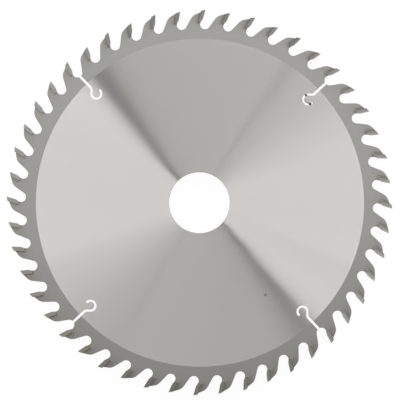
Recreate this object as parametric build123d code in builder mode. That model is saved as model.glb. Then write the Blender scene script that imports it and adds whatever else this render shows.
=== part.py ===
from build123d import *
from math import atan2, cos, degrees, radians, sin, tan
import os

# Circular saw blade with brazed carbide tips.
# It lies flat: +Z is the arbor axis and the origin is the centre of the bore at mid-thickness.
# Seen from +Z the teeth point clockwise, and the first cutting edge is on the +Y axis.

# Plate, in millimetres
blade_diameter = 190.0
plate_thickness = 1.6
bore_diameter = 30.0
bore_chamfer = 0.15
tooth_count = 48

# Steel tooth: hook face and toe down to the gullet, and a sloping crest with a rounded shoulder
hook_angle = 15.0
face_length = 4.6
toe_rise = 0.25
gullet_radius = 2.45
crest_drop = 0.3
crest_angle = 23.3
crest_length = 6.7
shoulder_radius = 5.0

# Carbide tip: proud of the plate on both sides, with clearance on every side but its face
tip_length = 6.5
tip_thickness = 2.0
side_set = 0.5
top_bevel = 15.0
top_relief = 15.0
radial_clearance = 1.0
tangential_clearance = 2.0

# Brazing metal: an even film between tip and seat, and a low fillet on each side of the plate
braze_film = 0.15
fillet_width = 0.5
fillet_height = 0.25

# Expansion slots: a straight run in from a gullet, a bend, and a hook that ends the cut
slot_count = 4
slot_width = 1.2
slot_setback = 0.3
slot_run = 8.0
slot_bend_radius = 2.0
hook_lead = 1.0
hook_radius = 2.45
hook_sweep = 225.0

# Places on the first tooth, worked out from the sizes
pitch = 360 / tooth_count
tip_radius = blade_diameter / 2
kerf = plate_thickness + 2 * side_set
cutting_edge = Vector(0, tip_radius)
down_face = Vector(-sin(radians(hook_angle)), -cos(radians(hook_angle)))
behind_face = Vector(-cos(radians(hook_angle)), sin(radians(hook_angle)))
down_crest = Vector(-cos(radians(crest_angle)), -sin(radians(crest_angle)))
crest = cutting_edge + down_face * crest_drop
shoulder = crest + down_crest * crest_length
face_foot = cutting_edge + down_face * face_length
gullet_centre = Vector(0, face_foot.Y - toe_rise - gullet_radius)
gullet_bottom = gullet_centre - Vector(0, gullet_radius)
slot_bend = Vector(-slot_setback, gullet_bottom.Y - slot_run)
hook_centre = slot_bend - Vector(0, hook_lead + hook_radius)


def tip_block(margin=0, front=0):
    """Corners of the tip's block, grown by a margin at its back and foot and by a front ahead."""
    above = -tip_thickness
    foot = tip_length + margin
    rear = tip_thickness + margin
    corners = ((above, -front), (above, rear), (foot, rear), (foot, -front))
    return [cutting_edge + down_face * along + behind_face * behind for along, behind in corners]


# One pitch of the rim: down a hook face, round its gullet and up the back of the next tooth
with BuildLine() as tooth_gap:
    gullet = CenterArc(gullet_centre, gullet_radius, 0, 360, mode=Mode.PRIVATE)
    next_crest = crest.rotate(Axis.Z, -pitch)
    next_shoulder = shoulder.rotate(Axis.Z, -pitch)
    toe = ConstrainedLines(
        gullet, face_foot, selector=lambda lines: lines.sort_by(Axis.X)[:1], mode=Mode.PRIVATE
    ).edge()
    back = ConstrainedLines(
        gullet, next_shoulder, selector=lambda lines: lines.sort_by(Axis.X)[-1:], mode=Mode.PRIVATE
    ).edge()
    Polyline(crest, face_foot, toe @ 0)
    ThreePointArc(toe @ 0, gullet_bottom, back @ 0)
    FilletPolyline(back @ 0, next_shoulder, next_crest, radius=shoulder_radius)

# The plate's outline with whole steel teeth, before the seats are cut
with BuildSketch() as toothed_disc:
    with BuildLine():
        with PolarLocations(0, tooth_count):
            add(tooth_gap.line)
    make_face()

# Open space ahead of the toe, which the foot of a tip and its brazing metal keep clear of too
with BuildSketch() as toe_space:
    toe_end = face_foot + ((toe @ 0) - face_foot).normalized() * tip_length
    ahead = behind_face * -2 * tip_thickness
    Polygon(face_foot, toe_end, toe_end + ahead, face_foot + ahead)

# Expansion slot, drawn in from the gullet of the first tooth
with BuildSketch() as hook_slot:
    with BuildLine():
        hook = CenterArc(hook_centre, hook_radius, 0, 360, mode=Mode.PRIVATE)
        leg = ConstrainedLines(
            hook, slot_bend, selector=lambda lines: lines.sort_by(Axis.X)[:1], mode=Mode.PRIVATE
        ).edge()
        run = FilletPolyline(
            (-slot_setback, gullet_centre.Y), slot_bend, leg @ 0, radius=slot_bend_radius
        )
        JernArc(run @ 1, run % 1, hook_radius, hook_sweep)
        offset(amount=slot_width / 2)
    make_face()

# Each slot opens into the gullet nearest to its even share of the circle
slot_gullets = [round(tooth_count * (number + 0.5) / slot_count) for number in range(slot_count)]

with BuildPart() as blade_body:
    with BuildSketch():
        add(toothed_disc.sketch)
        with PolarLocations(0, tooth_count):
            Polygon(tip_block(braze_film, front=tip_thickness), mode=Mode.SUBTRACT)
        for gullet_number in slot_gullets:
            add(hook_slot.sketch, rotation=pitch * gullet_number, mode=Mode.SUBTRACT)
    extrude(amount=plate_thickness / 2, both=True)
    Hole(bore_diameter / 2)
    chamfer(blade_body.edges(Select.LAST).filter_by(GeomType.CIRCLE), bore_chamfer)

# Tip whose cutting corner is on the +Z side of the plate
with BuildPart() as upper_tip:
    with BuildSketch():
        Polygon(tip_block())
        add(toe_space.sketch, mode=Mode.SUBTRACT)
    extrude(amount=kerf / 2, both=True)
    for side in (1, -1):
        lean = (-tan(radians(tangential_clearance)), -tan(radians(radial_clearance)), side)
        flank = Plane(origin=(0, tip_radius, side * kerf / 2), z_dir=lean)
        split(bisect_by=flank, keep=Keep.BOTTOM)
    slope = (-tan(radians(top_relief)), 1, -tan(radians(top_bevel)))
    top = Plane(origin=(0, tip_radius, kerf / 2), z_dir=slope)
    split(bisect_by=top, keep=Keep.BOTTOM)

# Tip whose cutting corner is on the -Z side
with BuildPart() as lower_tip:
    add(upper_tip.part)
    mirror(about=Plane.XY, mode=Mode.REPLACE)

# Brazing metal of the first seat
with BuildPart() as braze_seam:
    with BuildSketch(Plane.XY.offset(plate_thickness / 2)):
        Polygon(tip_block(braze_film + fillet_width, front=tip_thickness))
    extrude(amount=fillet_height, taper=degrees(atan2(fillet_width, fillet_height)))
    mirror(about=Plane.XY)
    with BuildSketch():
        Polygon(tip_block(braze_film, front=tip_thickness))
    extrude(amount=plate_thickness / 2, both=True)
    with BuildSketch():
        Polygon(tip_block(front=2 * tip_thickness))
        add(toe_space.sketch)
    extrude(amount=kerf, both=True, mode=Mode.SUBTRACT)
    with BuildSketch():
        add(toothed_disc.sketch)
    extrude(amount=kerf, both=True, mode=Mode.INTERSECT)

with BuildPart() as braze_seams:
    with PolarLocations(0, tooth_count):
        add(braze_seam.part)

os.makedirs("parts", exist_ok=True)
blade_body.part.label = "blade_body"
export_step(blade_body.part, "parts/blade_body.step")
braze_seams.part.label = "braze_seams"
export_step(braze_seams.part, "parts/braze_seams.step")

# The tips go clockwise from the first seat, with their cutting corners above and below in turn
for number in range(tooth_count):
    with BuildPart() as tip:
        turned_tip = lower_tip if number % 2 else upper_tip
        add(turned_tip.part, rotation=(0, 0, -pitch * number))
    tip.part.label = f"tip_{number + 1:02d}"
    export_step(tip.part, f"parts/{tip.part.label}.step")
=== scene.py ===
import math

import bmesh
import bpy
from mathutils import Matrix, Vector, noise


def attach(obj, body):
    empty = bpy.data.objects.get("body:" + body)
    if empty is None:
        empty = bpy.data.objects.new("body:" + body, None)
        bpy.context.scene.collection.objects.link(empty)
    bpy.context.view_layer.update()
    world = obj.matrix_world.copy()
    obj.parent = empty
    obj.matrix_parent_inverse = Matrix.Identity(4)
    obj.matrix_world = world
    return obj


MM = 0.001

# Places on the blade that its finishes follow, in metres
TOOTH_COUNT = 48
TIP_RADIUS = 95.0 * MM
HOOK_ANGLE = math.radians(15.0)
TIP_THICKNESS = 2.0 * MM
TIP_LENGTH = 6.5 * MM
SEAT_DEPTH = 2.15 * MM
SEAT_LENGTH = 6.65 * MM
GULLET_CENTRE = 87.86 * MM
GULLET_RADIUS = 2.45 * MM
TOOTH_ZONE = (84.0 * MM, 91.0 * MM)
RIM_RADIUS = 80.8 * MM
RIM_SHIFT = 0.27 * MM
RIM_BLEND = (-0.1 * MM, 0.1 * MM)
FACE_HEIGHT = 0.8 * MM
REST_HEIGHT = -1.3 * MM

# Sides of the blade that differ in painted light and shade, tint, film or wear: the azimuth in
# degrees, and the cosines of the angle from it at which the difference starts and is whole
LIT_SIDE = (0.0, 0.0, 0.9)
SHADED_SIDE = (40.0, -0.3, 0.9)
FAINT_SIDE = (150.0, -0.6, 0.6)
LEFT_HIGHLIGHT_SIDE = (183.0, 0.4, 0.9)
OLIVE_SIDE = (217.0, 0.8, 0.97)
DUST_AND_SHADE_SIDE = (255.0, 0.1, 0.7)
RIM_WEAR_AND_SHADE_SIDE = (275.0, 0.1, 0.8)
FILM_AND_SHADE_SIDE = (275.0, 0.6, 0.85)
WORN_SIDE = (304.0, 0.978, 0.996)

# In the finishes below, tones are the two colours of a cloudy mix, a layer or a shade is a share
# and a colour, and a reach is where a mask starts to change and where it has changed. A roughness
# that varies is its least value and its rise, and a bump is its strength and its distance.

# Ground face: rings of grinding lines that run a little askew, and sheens that are each turned by
# one step from the last
RING_WIDTH = 0.9 * MM
RING_VARIATION = 1.5
RING_DETAIL = 4.0
RING_SHARE = 0.7
CLOUD_SCALE = 40.0
GROUND_TONES = ((0.565, 0.56, 0.55), (0.686, 0.68, 0.667))
SOFT_ROUGHNESS = (0.22, 0.05)
SOFT_ROTATION = 0.236
SHEEN_TONE = (0.626, 0.62, 0.609, 1.0)
CRISP_ROUGHNESS = (0.16, 0.04)
CRISP_ANISOTROPY = 0.82
CRISP_ROTATION = 0.5
CRISP_REACH = (15.0 * MM, 75.0 * MM)
CRISP_SHARE = 0.7
SHEEN_COUNT = 4
SHEEN_STEP = math.radians(3.4)
SWIRL = 2.21 * MM
OFF_CENTRE = 1.04 * MM
WORN_LOSS = 0.5

# Blasted rim, and the pale and brown heat tint that spreads from each seat, with painted shade on
# the teeth, along the gullet edges and towards the bottom, and a painted highlight on the left
GRAIN_SCALE = 1400.0
GRAIN_SHARE = 0.6
RIM_TONES = ((0.274, 0.273, 0.267), (0.353, 0.352, 0.344))
RIM_ROUGHNESS = (0.72, 0.1)
RIM_BUMP = (0.25, 0.1 * MM)
TOOTH_SHADE = (0.3, (0.226, 0.225, 0.219))
GULLET_SHADE = (0.5, (0.226, 0.225, 0.22))
GULLET_REACH = (0.0, 0.6 * MM)
RIM_WEAR_AND_SHADE_LAYER = (0.13, (0.17, 0.168, 0.158))
FOOT_STRETCH = 1.8
PALE_REACH = (1.0 * MM, 3.6 * MM)
PALE_LAYER = (0.6, (0.294, 0.277, 0.267))
PALE_LOSS = 0.4
RIM_HIGHLIGHT_LAYER = (0.3, (0.42, 0.414, 0.4))
BROWN_REACH = (0.4 * MM, 1.65 * MM)
BROWN_LAYER = (1.0, (0.184, 0.178, 0.164))
BROWN_CHANCE = (0.75, 0.3)
BROWN_LOSS = 0.85
OLIVE_LAYER = (0.35, (0.283, 0.277, 0.232))
DUST_AND_SHADE_REACH = (2.8 * MM, 4.2 * MM)
DUST_AND_SHADE_LAYER = (0.3, (0.17, 0.168, 0.158))
FLAT_REACH = (0.8, 0.9)

# Small dark stain on the ground face
STAIN_PLACE = (33.9 * MM, -44.4 * MM)
STAIN_REACH = (0.25 * MM, 0.75 * MM)
STAIN_TONES = ((0.05, 0.045, 0.04), (0.1, 0.09, 0.08))

# Carbide tips: grinding lines along the tip, a paler stripe on some, painted highlights on the
# tips at the left and right of the picture, on the left and on the fronts at the right, and film
# on the tops towards the bottom, which like the darker tone there is partly painted shade
LINE_LENGTH = 2.0 * MM
LINE_WIDTH = 0.25 * MM
LINE_DETAIL = 2.0
TIP_TONES = ((0.23, 0.23, 0.225), (0.325, 0.325, 0.315))
TIP_ROUGHNESS = (0.22, 0.08)
TIP_BUMP = (0.15, 0.05 * MM)
STRIPE_CENTRE = 0.95 * MM
STRIPE_REACH = (0.1 * MM, 0.6 * MM)
STRIPE_LAYER = (0.6, (0.5, 0.5, 0.49))
SIDE_HIGHLIGHT_REACH = (0.5, 0.8)
SIDE_HIGHLIGHT_LAYER = (0.6, (0.42, 0.418, 0.41))
TIP_HIGHLIGHT_LAYER = (0.2, (0.5, 0.498, 0.49))
FRONT_REACH = (0.3 * MM, 0.9 * MM)
LIT_LAYER = (0.5, (0.6, 0.597, 0.59))
TIP_WEAR_AND_SHADE_LAYER = (0.45, (0.15, 0.149, 0.143))
TIP_OLIVE_LAYER = (0.5, (0.33, 0.32, 0.25))
TOP_REACH = (0.5, 0.9)
FILM_AND_SHADE_SHARE = 0.5
FILM_AND_SHADE_TONES = ((0.045, 0.044, 0.04), (0.075, 0.073, 0.068))
FILM_ROUGHNESS = 0.8

# Brazing metal, paler at the foot of the tip, with a dark line along the tip, painted shade on the
# upper right and a painted highlight on the left
FLOW_SCALE = 900.0
FLOW_TONES = ((0.16, 0.157, 0.143), (0.224, 0.22, 0.202))
FLOW_ROUGHNESS = (0.58, 0.1)
FLOW_BUMP = (0.15, 0.1 * MM)
FLOW_LEAN = 0.5
FLOW_SHADE = (0.35, (0.08, 0.078, 0.07))
FOOT_REACH = (5.6 * MM, 7.0 * MM)
FOOT_LAYER = (1.0, (0.252, 0.246, 0.23))
FLOW_HIGHLIGHT_LAYER = (0.42, (0.33, 0.318, 0.295))
FOOT_HIGHLIGHT_LAYER = (0.3, (0.42, 0.41, 0.39))
FLOW_OLIVE_LAYER = (0.5, (0.2, 0.19, 0.15))
EDGE_REACH = (0.05 * MM, 0.35 * MM)
EDGE_LAYER = (0.6, (0.05, 0.048, 0.043))

# Pitch in the hook of one slot: a thread on its inner wall, and clots by name, place and turn
PITCH_SCALE = 3000.0
PITCH_TONES = ((0.022, 0.02, 0.018), (0.07, 0.062, 0.052))
PITCH_ROUGHNESS = (0.6, 0.2)
PITCH_BUMP = (0.5, 0.1 * MM)
CLOT_HOOK = (52.09 * MM, 52.51 * MM)
THREAD_REACH = 1.87 * MM
THREAD_RADIUS = 0.2 * MM
THREAD_HEIGHT = 0.7 * MM
THREAD_START = math.radians(165.0)
THREAD_TURN = math.radians(125.0)
THREAD_SIDES = 10
THREAD_STEPS = 20
CLOT_RADIUS = 0.66 * MM
CLOT_STRETCH = 1.15
CLOT_SUBDIVISIONS = 3
LUMP_SCALE = 1300.0
LUMP_DEPTH = 0.22
CLOTS = (
    ("pitch_clot_1", (50.9 * MM, 54.55 * MM), 0.6),
    ("pitch_clot_2", (53.01 * MM, 50.27 * MM), 2.1),
)

# View of the blade, from straight above
CAMERA_ROLL = math.radians(1.8067)
CAMERA_HEIGHT = 650.0 * MM
CAMERA_RIGHT = 0.29 * MM
CAMERA_UP = 1.29 * MM
VIEW_WIDTH = 196.95 * MM
SENSOR_WIDTH = 36.0

# Studio light: soft panels that repeat every half turn, from one sharp edge round to the next.
# Their places and the gap's are shares of the half turn, and the levels are brightnesses.
PANEL_EDGE = 132.95 / 180.0
PANEL_LEVELS = (
    (0.0, 1.33),
    (0.09, 1.2),
    (0.21, 1.09),
    (0.36, 1.12),
    (0.41, 1.12),
    (0.473, 0.96),
    (0.529, 0.82),
    (0.58, 0.81),
    (0.7, 0.77),
    (0.927, 0.73),
    (0.952, 0.56),
    (0.968, 0.27),
    (0.978, 0.0),
    (0.998, 0.0),
    (1.0, 0.4),
)
PANEL_GAP = 57.6 / 180.0
GAP_REACH = (1.0 / 180.0, 1.6 / 180.0)
GAP_SHADE = 0.65
HORIZON_LEVEL = 0.9
HORIZON_REACH = (0.08, 0.25)
WARMTH_REACH = (0.7, 1.1)
LIGHT_TONES = ((0.8, 0.79, 0.76), (0.8, 0.796, 0.786))
WHITE = (1.0, 1.0, 1.0)
LAMP_COUNT = 5
LAMP_DISTANCE = 0.36
LAMP_HEIGHT = 0.06
LAMP_SIZE = (0.3, 0.07)
LAMP_WATTS = 1.15
FLOOR_RADIUS = 2.5
FLOOR_SIDES = 96
FLOOR_TONE = (0.8, 0.8, 0.8, 1.0)
FLOOR_GLOW = 0.95


class Value:
    """A socket of a shader, on which sums are written."""

    def __init__(self, shading, socket):
        self.shading = shading
        self.socket = socket

    def maths(self, operation, *others):
        """Adds a Math node on this value and the others."""
        sockets = dict(enumerate((self, *others)))
        return self.shading.node("ShaderNodeMath", {"operation": operation}, sockets)

    def __add__(self, other):
        return self.maths("ADD", other)

    def __sub__(self, other):
        return self.maths("SUBTRACT", other)

    def __mul__(self, other):
        return self.maths("MULTIPLY", other)

    def __truediv__(self, other):
        return self.maths("DIVIDE", other)

    def __rsub__(self, other):
        return self * -1.0 + other

    __radd__ = __add__
    __rmul__ = __mul__


class Shading:
    """The nodes of one material, or of the world."""

    def __init__(self, owner):
        owner.use_nodes = True
        self.tree = owner.node_tree
        self.tree.nodes.clear()

    def node(self, kind, settings=None, sockets=None, output=0):
        """Adds a node with its settings and the values or links of its sockets."""
        made = self.tree.nodes.new(kind)
        for name, value in (settings or {}).items():
            if name == "stops":
                stops = made.color_ramp.elements
                while len(stops) < len(value):
                    stops.new(1.0)
                for stop, (place, level) in zip(stops, value):
                    stop.position = place
                    stop.color = (level, level, level, 1.0)
            else:
                setattr(made, name, value)
        for name, value in (sockets or {}).items():
            if isinstance(value, Value):
                self.tree.links.new(value.socket, made.inputs[name])
            else:
                made.inputs[name].default_value = value
        return Value(self, made.outputs[output]) if made.outputs else None

    def place(self):
        """Place on the object."""
        return self.node("ShaderNodeTexCoord", output="Object")

    def normal(self):
        """Direction in which the surface faces."""
        return self.node("ShaderNodeNewGeometry", output="Normal")

    def level(self):
        """1 where the surface lies level, whichever way up, and 0 where it stands upright."""
        return self.axes(self.normal())[2].maths("ABSOLUTE")

    def axes(self, vector):
        """The x, y and z of a vector."""
        return [
            self.node("ShaderNodeSeparateXYZ", sockets={"Vector": vector}, output=axis)
            for axis in range(3)
        ]

    def vector(self, *axes):
        """A vector from its x, y and z."""
        return self.node("ShaderNodeCombineXYZ", sockets=dict(enumerate(axes)))

    def step(self, value, low, high):
        """0 below low, 1 above high, and a smooth rise between them."""
        sockets = {"Value": value, "From Min": low, "From Max": high}
        return self.node("ShaderNodeMapRange", {"interpolation_type": "SMOOTHSTEP"}, sockets)

    def fade(self, value, low, high):
        """1 below low, 0 above high, and a smooth fall between them."""
        return 1.0 - self.step(value, low, high)

    def noise(self, vector, scale, detail=3.0):
        """Cloudy values round 0.5."""
        sockets = {"Vector": vector, "Scale": scale, "Detail": detail}
        return self.node("ShaderNodeTexNoise", sockets=sockets)

    def chance(self, number):
        """A value from 0 to 1 for each whole number."""
        return self.node("ShaderNodeTexWhiteNoise", {"noise_dimensions": "1D"}, {"W": number})

    def tone(self, factor, first, second):
        """A colour from the first to the second, which may be links or plain colours."""
        ends = [end if isinstance(end, Value) else (*end, 1.0) for end in (first, second)]
        sockets = {0: factor, 6: ends[0], 7: ends[1]}
        return self.node("ShaderNodeMix", {"data_type": "RGBA"}, sockets, 2)

    def layered(self, tone, *layers):
        """Lays colours over a tone in turn, each by its mask, and its share and colour."""
        for mask, (share, colour) in layers:
            tone = self.tone(mask * share, tone, colour)
        return tone

    def bump(self, height, strength, distance, **sockets):
        """The surface's direction on small bumps of a height."""
        sockets.update(Height=height, Strength=strength, Distance=distance)
        return self.node("ShaderNodeBump", sockets=sockets)

    def surface(self, **sockets):
        """A principled surface."""
        named = {name.replace("_", " "): value for name, value in sockets.items()}
        return self.node("ShaderNodeBsdfPrincipled", sockets=named)

    def mixed(self, factor, first, second):
        """A shader from the first to the second."""
        return self.node("ShaderNodeMixShader", sockets={0: factor, 1: first, 2: second})


def length_of(x, y):
    """Distance from the origin."""
    return (x * x + y * y).maths("SQRT")


def rising(value, least, rise):
    """From the least, up by the rise as the value goes from 0 to 1."""
    return value * rise + least


class BladePlace:
    """Where a point lies on the blade, and in the frame of its nearest tooth."""

    def __init__(self, shading):
        self.shading = shading
        self.point = shading.place()
        self.x, self.y = shading.axes(self.point)[:2]
        self.radius = length_of(self.x, self.y)
        turns = self.x.maths("ARCTAN2", self.y) * (TOOTH_COUNT / math.tau)
        self.tooth = (turns + 0.5).maths("FLOOR")
        turned = (turns - self.tooth) * (math.tau / TOOTH_COUNT)
        self.across = self.radius * turned.maths("SINE")
        self.outward = self.radius * turned.maths("COSINE")

        # Distances from the cutting edge: down the hook face, and behind it
        drop = TIP_RADIUS - self.outward
        self.down_face = drop * math.cos(HOOK_ANGLE) - self.across * math.sin(HOOK_ANGLE)
        self.behind = self.across * -math.cos(HOOK_ANGLE) - drop * math.sin(HOOK_ANGLE)

    def facing(self, azimuth, low, high):
        """1 on the side of the blade at an azimuth, and 0 on the rest, between two cosines."""
        aim = math.radians(azimuth)
        along = self.x * math.cos(aim) + self.y * math.sin(aim)
        return self.shading.step(along / self.radius, low, high)


def made_of(name, surface):
    """A material by its name, and the function that makes its surface."""
    material = bpy.data.materials.new(name)
    shading = Shading(material)
    shading.node("ShaderNodeOutputMaterial", sockets={"Surface": surface(shading)})
    return material


def ground_face(steel, at, cloud):
    """Steel ground in rings round the bore, on which light lies in fans."""
    turn = (at.x / at.radius * RING_VARIATION, at.y / at.radius * RING_VARIATION)
    grinding = steel.noise(steel.vector(at.radius / RING_WIDTH, *turn), 1.0, RING_DETAIL)
    soft_sheen = steel.surface(
        Base_Color=steel.tone(grinding * RING_SHARE + cloud * (1.0 - RING_SHARE), *GROUND_TONES),
        Metallic=1.0,
        Roughness=rising(grinding, *SOFT_ROUGHNESS),
        Anisotropic=1.0,
        Anisotropic_Rotation=SOFT_ROTATION,
    )

    # The lines run a little askew, more so near the bore, so the fans of light on them curve
    across_streak = (at.x - at.y) / at.radius * math.sqrt(0.5)
    askew = (across_streak * OFF_CENTRE + SWIRL) / at.radius / SHEEN_STEP
    crisp_roughness = rising(grinding, *CRISP_ROUGHNESS)
    crisp_sheen = None
    for number in range(SHEEN_COUNT):
        turned_sheen = steel.node(
            "ShaderNodeBsdfAnisotropic",
            sockets={
                "Color": SHEEN_TONE,
                "Roughness": crisp_roughness,
                "Anisotropy": CRISP_ANISOTROPY,
                "Rotation": CRISP_ROTATION - number * SHEEN_STEP / math.tau,
            },
        )
        if number:
            share = steel.step(askew, number - 1.0, number * 1.0)
            turned_sheen = steel.mixed(share, crisp_sheen, turned_sheen)
        crisp_sheen = turned_sheen
    crisp = steel.step(at.radius, *CRISP_REACH) * (1.0 - CRISP_SHARE) + CRISP_SHARE
    worn = at.facing(*WORN_SIDE)
    return steel.mixed(crisp * (1.0 - worn * WORN_LOSS), soft_sheen, crisp_sheen)


def blasted_rim(steel, at, cloud, grain):
    """Matt steel rim, teeth and cut edges, with brazing heat tint, painted shade and highlight."""
    on_tooth = steel.step(at.radius, *TOOTH_ZONE)
    gullet_edge = length_of(at.across, at.outward - GULLET_CENTRE) - GULLET_RADIUS
    past_seat = (at.behind - SEAT_DEPTH).maths("MAXIMUM", at.behind * -1.0).maths("MAXIMUM", 0.0)
    under_seat = (at.down_face - SEAT_LENGTH).maths("MAXIMUM", 0.0)
    away = length_of(past_seat, under_seat * FOOT_STRETCH)
    pale = steel.fade(away, *PALE_REACH)
    brown = steel.fade(away, *BROWN_REACH) * rising(steel.chance(at.tooth), *BROWN_CHANCE)
    faint = at.facing(*FAINT_SIDE)
    # Partly dust and partly painted shade, behind each seat towards the bottom
    dust_and_shade = at.facing(*DUST_AND_SHADE_SIDE) * steel.step(at.behind, *DUST_AND_SHADE_REACH)
    tone = steel.layered(
        steel.tone(grain * GRAIN_SHARE + cloud * (1.0 - GRAIN_SHARE), *RIM_TONES),
        (on_tooth, TOOTH_SHADE),
        (steel.fade(gullet_edge, *GULLET_REACH), GULLET_SHADE),
        # Partly wear and partly painted shade: the rim darker towards the bottom
        (at.facing(*RIM_WEAR_AND_SHADE_SIDE), RIM_WEAR_AND_SHADE_LAYER),
        (pale * (1.0 - faint * PALE_LOSS), PALE_LAYER),
        # Painted highlight: the pale tint lighter on the left
        (pale * at.facing(*LEFT_HIGHLIGHT_SIDE), RIM_HIGHLIGHT_LAYER),
        (brown * (1.0 - faint * BROWN_LOSS), BROWN_LAYER),
        (at.facing(*OLIVE_SIDE) * on_tooth, OLIVE_LAYER),
        (dust_and_shade * on_tooth, DUST_AND_SHADE_LAYER),
    )
    return steel.surface(
        Base_Color=tone,
        Metallic=1.0,
        Roughness=rising(grain, *RIM_ROUGHNESS),
        Normal=steel.bump(grain, *RIM_BUMP),
    )


def plate_steel(steel):
    """The plate: ground on both faces inside the rim, blasted elsewhere, and stained at a spot."""
    at = BladePlace(steel)
    cloud = steel.noise(at.point, CLOUD_SCALE)
    grain = steel.noise(at.point, GRAIN_SCALE)
    on_face = steel.step(steel.level(), *FLAT_REACH)
    ground_edge = length_of(at.x - RIM_SHIFT, at.y) - RIM_RADIUS
    plate = steel.mixed(
        on_face * steel.fade(ground_edge, *RIM_BLEND),
        blasted_rim(steel, at, cloud, grain),
        ground_face(steel, at, cloud),
    )
    off_stain = length_of(at.x - STAIN_PLACE[0], at.y - STAIN_PLACE[1])
    stain = steel.surface(Base_Color=steel.tone(grain, *STAIN_TONES))
    return steel.mixed(steel.fade(off_stain, *STAIN_REACH) * on_face, plate, stain)


def tip_carbide(carbide):
    """Dark ground carbide, a paler stripe on some tips, and a matt film, partly painted shade, on
    lower tops.
    """
    at = BladePlace(carbide)
    along_tip = carbide.vector(at.down_face / LINE_LENGTH, at.behind / LINE_WIDTH, at.tooth)
    lines = carbide.noise(along_tip, 1.0, LINE_DETAIL)
    stripe = carbide.fade((at.behind - STRIPE_CENTRE).maths("ABSOLUTE"), *STRIPE_REACH)
    # Painted highlight on the tips at the left and right
    side_highlight = carbide.step(at.x.maths("ABSOLUTE") / at.radius, *SIDE_HIGHLIGHT_REACH)
    front = carbide.fade(at.behind, *FRONT_REACH)
    # Partly wear and film, partly painted shade: the tips darker towards the bottom
    filmed_and_shaded = at.facing(*FILM_AND_SHADE_SIDE)
    tone = carbide.layered(
        carbide.tone(lines, *TIP_TONES),
        (stripe * carbide.chance(at.tooth), STRIPE_LAYER),
        (side_highlight, SIDE_HIGHLIGHT_LAYER),
        # Painted highlight on the tips at the left
        (at.facing(*LEFT_HIGHLIGHT_SIDE), TIP_HIGHLIGHT_LAYER),
        (at.facing(*LIT_SIDE) * front, LIT_LAYER),
        (filmed_and_shaded, TIP_WEAR_AND_SHADE_LAYER),
        (at.facing(*OLIVE_SIDE), TIP_OLIVE_LAYER),
    )
    surface = carbide.surface(
        Base_Color=tone,
        Metallic=1.0,
        Roughness=rising(lines, *TIP_ROUGHNESS),
        Normal=carbide.bump(lines, *TIP_BUMP),
    )
    # The film on the tops towards the bottom is partly painted shade
    film = carbide.surface(Base_Color=carbide.tone(lines, *FILM_AND_SHADE_TONES), Roughness=FILM_ROUGHNESS)
    on_top = carbide.fade(carbide.level(), *TOP_REACH)
    return carbide.mixed(filmed_and_shaded * on_top * FILM_AND_SHADE_SHARE, surface, film)


def seam_braze(braze):
    """Brazing metal as it flowed, browned by the heat, with painted shade and a painted highlight.
    """
    at = BladePlace(braze)
    cloud = braze.noise(at.point, FLOW_SCALE)
    at_foot = braze.step(at.down_face, *FOOT_REACH)
    # Painted highlight on the left, on the braze and more at its foot
    bright = at.facing(*LEFT_HIGHLIGHT_SIDE)
    off_tip = (at.behind - TIP_THICKNESS).maths("MAXIMUM", at.down_face - TIP_LENGTH)
    tone = braze.layered(
        braze.tone(cloud, *FLOW_TONES),
        (at.facing(*SHADED_SIDE), FLOW_SHADE),
        (at_foot, FOOT_LAYER),
        (bright, FLOW_HIGHLIGHT_LAYER),
        (at_foot * bright, FOOT_HIGHLIGHT_LAYER),
        (at.facing(*OLIVE_SIDE), FLOW_OLIVE_LAYER),
        (braze.fade(off_tip, *EDGE_REACH), EDGE_LAYER),
    )

    # The flat slope of the fillet is shaded as a flow that leans less
    x, y, z = braze.axes(braze.normal())
    leaning = braze.vector(x * FLOW_LEAN, y * FLOW_LEAN, z)
    rounded = braze.node("ShaderNodeVectorMath", {"operation": "NORMALIZE"}, {0: leaning})
    return braze.surface(
        Base_Color=tone,
        Metallic=1.0,
        Roughness=rising(cloud, *FLOW_ROUGHNESS),
        Normal=braze.bump(cloud, *FLOW_BUMP, Normal=rounded),
    )


def slot_pitch(pitch):
    """Hardened pitch and sawdust."""
    grain = pitch.noise(pitch.place(), PITCH_SCALE)
    return pitch.surface(
        Base_Color=pitch.tone(grain, *PITCH_TONES),
        Roughness=rising(grain, *PITCH_ROUGHNESS),
        Normal=pitch.bump(grain, *PITCH_BUMP),
    )


def dirt_piece(name, shape, material):
    """Makes a finished piece of a shape."""
    for face in shape.faces:
        face.smooth = True
    mesh = bpy.data.meshes.new(name)
    shape.to_mesh(mesh)
    shape.free()
    mesh.materials.append(material)
    piece = bpy.data.objects.new(name, mesh)
    bpy.context.scene.collection.objects.link(piece)
    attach(piece, "root")


def pitch_thread(material):
    """Thread of pitch along the inner wall of the slot's hook."""
    shape = bmesh.new()
    bmesh.ops.create_circle(
        shape,
        segments=THREAD_SIDES,
        radius=THREAD_RADIUS,
        matrix=Matrix.Translation((THREAD_REACH, 0.0, 0.0)) @ Matrix.Rotation(math.pi / 2, 4, "X"),
    )
    bmesh.ops.rotate(shape, verts=shape.verts, matrix=Matrix.Rotation(THREAD_START, 3, "Z"))
    bmesh.ops.spin(
        shape,
        geom=shape.verts[:] + shape.edges[:],
        cent=(0.0, 0.0, 0.0),
        axis=(0.0, 0.0, 1.0),
        angle=THREAD_TURN,
        steps=THREAD_STEPS,
    )
    bmesh.ops.holes_fill(shape, edges=shape.edges, sides=0)
    bmesh.ops.translate(shape, verts=shape.verts, vec=(*CLOT_HOOK, THREAD_HEIGHT))
    bmesh.ops.recalc_face_normals(shape, faces=shape.faces)
    dirt_piece("pitch_thread", shape, material)


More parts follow.
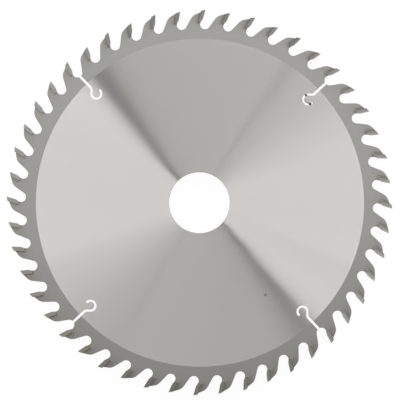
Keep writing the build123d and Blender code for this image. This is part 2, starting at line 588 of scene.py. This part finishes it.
def pitch_clot(name, place, turn, material):
    """Lumpy clot of pitch at one end of the thread."""
    shape = bmesh.new()
    bmesh.ops.create_icosphere(shape, subdivisions=CLOT_SUBDIVISIONS, radius=CLOT_RADIUS)
    for vertex in shape.verts:
        lumps = noise.noise(vertex.co * LUMP_SCALE + Vector((turn, 0.0, 0.0)))
        vertex.co *= 1.0 + LUMP_DEPTH * lumps
    bmesh.ops.scale(shape, verts=shape.verts, vec=(1.0, CLOT_STRETCH, 1.0))
    bmesh.ops.rotate(shape, verts=shape.verts, matrix=Matrix.Rotation(turn, 3, "Z"))
    bmesh.ops.translate(shape, verts=shape.verts, vec=(*place, 0.0))
    dirt_piece(name, shape, material)


def slot_dirt():
    """The thread and the clots of pitch in the hook of one slot."""
    material = made_of("slot_pitch", slot_pitch)
    pitch_thread(material)
    for name, place, turn in CLOTS:
        pitch_clot(name, place, turn, material)


def dress_nodes():
    """Gives each CAD node its finish."""
    finishes = {
        "blade_body": made_of("plate_steel", plate_steel),
        "braze_seams": made_of("seam_braze", seam_braze),
    }
    carbide = made_of("tip_carbide", tip_carbide)
    for name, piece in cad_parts.items():
        for slot in piece.material_slots:
            slot.material = finishes.get(name, carbide)


def floor_white(white):
    """Matt white that also shows white in gloss and through glass, and takes the shadow."""
    seen = [
        white.node("ShaderNodeLightPath", output=f"Is {kind} Ray")
        for kind in ("Camera", "Glossy", "Transmission")
    ]
    shown = (seen[0] + seen[1] + seen[2]).maths("MINIMUM", 1.0)
    matt = white.node("ShaderNodeBsdfDiffuse", sockets={"Color": FLOOR_TONE})
    glow = white.node("ShaderNodeEmission", sockets={"Strength": 1.0})
    return white.mixed(shown * FLOOR_GLOW, matt, glow)


def studio_floor():
    """White floor that keeps the blade's shadow."""
    shape = bmesh.new()
    bmesh.ops.create_circle(shape, cap_ends=True, segments=FLOOR_SIDES, radius=FLOOR_RADIUS)
    bmesh.ops.translate(shape, verts=shape.verts, vec=(0.0, 0.0, REST_HEIGHT))
    mesh = bpy.data.meshes.new("studio_floor")
    shape.to_mesh(mesh)
    shape.free()
    mesh.materials.append(made_of("floor_white", floor_white))
    floor = bpy.data.objects.new("studio_floor", mesh)
    bpy.context.scene.collection.objects.link(floor)


def studio_light():
    """Soft light from all round, by panels that a ground face shows as bright and dark fans."""
    world = bpy.data.worlds.new("studio_light")
    bpy.context.scene.world = world
    light = Shading(world)
    x, y, z = light.axes(light.node("ShaderNodeTexCoord", output="Generated"))
    turn = y.maths("ARCTAN2", x) / math.pi
    share = (turn - PANEL_EDGE).maths("FRACT")
    panels = light.node("ShaderNodeValToRGB", {"stops": PANEL_LEVELS}, {"Fac": share})
    off_gap = light.step((turn - PANEL_GAP).maths("ABSOLUTE"), *GAP_REACH)
    panels = panels * rising(off_gap, 1.0 - GAP_SHADE, GAP_SHADE)
    level = panels + (HORIZON_LEVEL - panels) * light.fade(z, *HORIZON_REACH)
    warmth = light.tone(light.step(level, *WARMTH_REACH), *LIGHT_TONES)
    seen = light.node("ShaderNodeLightPath", output="Is Camera Ray")
    glow = light.node(
        "ShaderNodeBackground",
        sockets={
            "Color": light.tone(seen, warmth, WHITE),
            "Strength": level + (1.0 - level) * seen,
        },
    )
    light.node("ShaderNodeOutputWorld", sockets={"Surface": glow})


def low_lamp(number):
    """One of the soft low lamps that stand side by side round the top half of the picture."""
    name = f"low_lamp_{number + 1}"
    data = bpy.data.lights.new(name, "AREA")
    data.shape = "RECTANGLE"
    data.size, data.size_y = LAMP_SIZE
    data.energy = LAMP_WATTS
    lamp = bpy.data.objects.new(name, data)
    azimuth = math.pi * number / (LAMP_COUNT - 1)
    place = Vector(
        (LAMP_DISTANCE * math.cos(azimuth), LAMP_DISTANCE * math.sin(azimuth), LAMP_HEIGHT)
    )
    lamp.location = place
    lamp.rotation_euler = place.to_track_quat("Z", "Y").to_euler()
    bpy.context.scene.collection.objects.link(lamp)


def photo_camera():
    """Camera straight above the blade, rolled a little as in the photo."""
    data = bpy.data.cameras.new("photo_camera")
    camera = bpy.data.objects.new("photo_camera", data)
    right = Vector((math.cos(CAMERA_ROLL), math.sin(CAMERA_ROLL), 0.0))
    up = Vector((-math.sin(CAMERA_ROLL), math.cos(CAMERA_ROLL), 0.0))
    camera.location = right * CAMERA_RIGHT + up * CAMERA_UP + Vector((0.0, 0.0, CAMERA_HEIGHT))
    camera.rotation_euler = (0.0, 0.0, CAMERA_ROLL)
    data.sensor_width = SENSOR_WIDTH
    data.lens = SENSOR_WIDTH * (CAMERA_HEIGHT - FACE_HEIGHT) / VIEW_WIDTH
    bpy.context.scene.collection.objects.link(camera)
    bpy.context.scene.camera = camera


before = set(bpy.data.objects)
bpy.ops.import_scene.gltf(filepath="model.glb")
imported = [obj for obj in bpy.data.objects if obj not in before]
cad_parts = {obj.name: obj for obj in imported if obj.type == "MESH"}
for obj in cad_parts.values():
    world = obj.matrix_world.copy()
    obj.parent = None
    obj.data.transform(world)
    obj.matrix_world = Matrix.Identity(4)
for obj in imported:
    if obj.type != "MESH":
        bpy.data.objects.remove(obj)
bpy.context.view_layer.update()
dress_nodes()
slot_dirt()
studio_floor()
studio_light()
for lamp_number in range(LAMP_COUNT):
    low_lamp(lamp_number)
photo_camera()
bpy.context.scene.view_settings.view_transform = "Standard"
